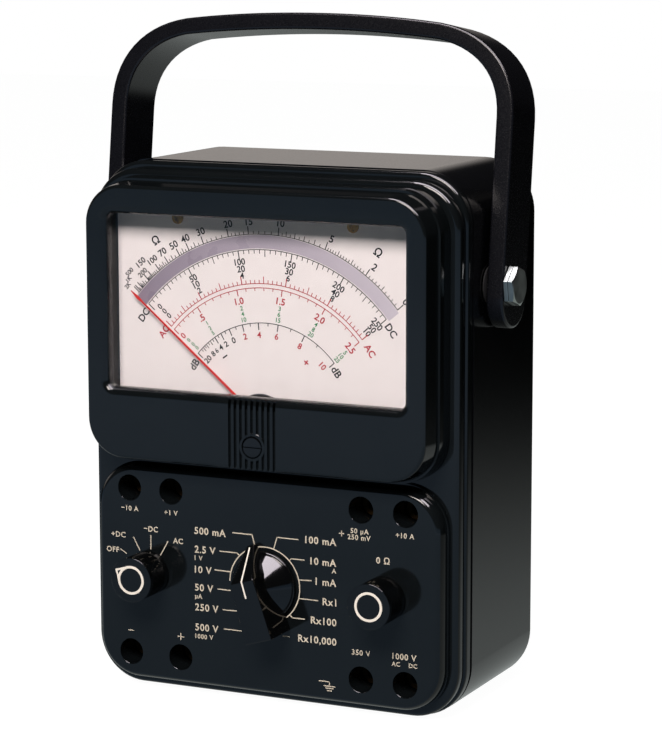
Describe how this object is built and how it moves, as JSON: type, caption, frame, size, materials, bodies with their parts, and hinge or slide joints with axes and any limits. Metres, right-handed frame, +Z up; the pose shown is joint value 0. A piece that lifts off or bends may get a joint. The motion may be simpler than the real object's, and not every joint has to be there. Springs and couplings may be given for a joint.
{
  "type": "analog multimeter",
  "caption": "Portable analog multimeter: moulded black case, wide dial window with a moving-coil pointer, rotary range, function and zero knobs, recessed test jacks and a swinging bail handle.",
  "frame": {"origin": "on the flat bottom of the case, halfway across the width and halfway through the depth of the body", "axes": "+X to the user's right, +Y to the back, +Z up; the dial and the knobs face -Y"},
  "size_m": [0.1538, 0.0868, 0.2259],
  "materials": {
    "case_phenolic": "satin black moulded phenolic",
    "panel_phenolic": "high-gloss black moulded phenolic",
    "knob_plastic": "gloss black moulded knob plastic",
    "handle_plastic": "satin black moulded handle plastic",
    "frame_phenolic": "matt dark phenolic",
    "rubber": "matt black rubber",
    "plated_steel": "bright nickel-plated steel",
    "brass": "plain machined brass",
    "coil_copper": "enamelled copper wire",
    "window_glass": "clear flat window glass",
    "dial_paint": "off-white printed dial with black, red and green scales",
    "needle_paint": "bright red enamel",
    "board_laminate": "green epoxy laminate",
    "cell_paint": "plain dark grey battery jacket"
  },
  "bodies": {
    "housing": {"rear_case": "case_phenolic", "case_screw_lower_left": "plated_steel", "case_screw_lower_right": "plated_steel", "case_screw_upper_left": "plated_steel", "case_screw_upper_right": "plated_steel", "rear_foot_lower_left": "rubber", "rear_foot_lower_right": "rubber", "rear_foot_upper_left": "rubber", "rear_foot_upper_right": "rubber", "handle_bolt_right": "plated_steel", "handle_bolt_left": "plated_steel", "handle_hex_collar_right": "plated_steel", "handle_hex_collar_left": "plated_steel", "handle_friction_washer_right": "rubber", "handle_friction_washer_left": "rubber", "handle_insert_nut_right": "brass", "handle_insert_nut_left": "brass", "front_panel": "panel_phenolic", "meter_bezel": "panel_phenolic", "window_glass": "window_glass", "dial_plate": "dial_paint", "dial_screw_left": "brass", "dial_screw_right": "brass", "meter_frame": "frame_phenolic", "core_magnet": "plated_steel", "magnet_yoke": "plated_steel", "core_bracket": "brass", "movement_front_bridge": "knob_plastic", "range_switch": "frame_phenolic", "function_switch": "frame_phenolic", "zero_ohms_potentiometer": "plated_steel", "jack_upper_left_outer": "brass", "jack_upper_left_inner": "brass", "jack_upper_right_inner": "brass", "jack_upper_right_outer": "brass", "jack_lower_left_outer": "brass", "jack_lower_left_inner": "brass", "jack_lower_right_inner": "brass", "jack_lower_right_outer": "brass", "circuit_board": "board_laminate", "fuse": "plated_steel", "battery_holder": "case_phenolic", "battery_d_cell": "cell_paint", "battery_nine_volt": "cell_paint"},
    "handle": {"handle": "handle_plastic"},
    "pointer": {"pointer": "needle_paint", "moving_coil": "coil_copper"},
    "zero_adjust_screw": {"zero_adjust_screw": "knob_plastic"},
    "range_knob": {"range_knob": "knob_plastic", "range_shaft": "plated_steel"},
    "function_knob": {"function_knob": "knob_plastic", "function_shaft": "plated_steel"},
    "zero_ohms_knob": {"zero_ohms_knob": "knob_plastic", "zero_ohms_shaft": "plated_steel"},
    "battery_cover": {"battery_cover": "case_phenolic"},
    "battery_cover_screw": {"battery_cover_screw": "plated_steel"}
  },
  "joints": [
    {"name": "handle_swing", "type": "hinge", "parent": "housing", "child": "handle", "pos_m": [0, -0.001, 0.1403], "axis": [1, 0, 0], "range_deg": [-120, 155]},
    {"name": "pointer_sweep", "type": "hinge", "parent": "housing", "child": "pointer", "pos_m": [0, -0.0315, 0.0955], "axis": [0, 1, 0], "range_deg": [0, 100], "stiffness_Nm_per_rad": 0.0005},
    {"name": "zero_adjust_turn", "type": "hinge", "parent": "housing", "child": "zero_adjust_screw", "pos_m": [0, -0.0397, 0.0885], "axis": [0, 1, 0], "continuous": true},
    {"name": "range_turn", "type": "hinge", "parent": "housing", "child": "range_knob", "pos_m": [0, -0.0313, 0.0412], "axis": [0, 1, 0], "continuous": true},
    {"name": "function_turn", "type": "hinge", "parent": "housing", "child": "function_knob", "pos_m": [-0.04297, -0.0313, 0.0412], "axis": [0, 1, 0], "range_deg": [0, 90]},
    {"name": "zero_ohms_turn", "type": "hinge", "parent": "housing", "child": "zero_ohms_knob", "pos_m": [0.04297, -0.0313, 0.0412], "axis": [0, 1, 0], "range_deg": [-145, 145]},
    {"name": "battery_cover_off", "type": "slide", "parent": "housing", "child": "battery_cover", "axis": [0, 1, 0], "range_m": [0, 0.03]},
    {"name": "battery_cover_screw_turn", "type": "hinge", "parent": "battery_cover", "child": "battery_cover_screw", "pos_m": [0, 0.0397, 0.0817], "axis": [0, 1, 0], "continuous": true}
  ]
}
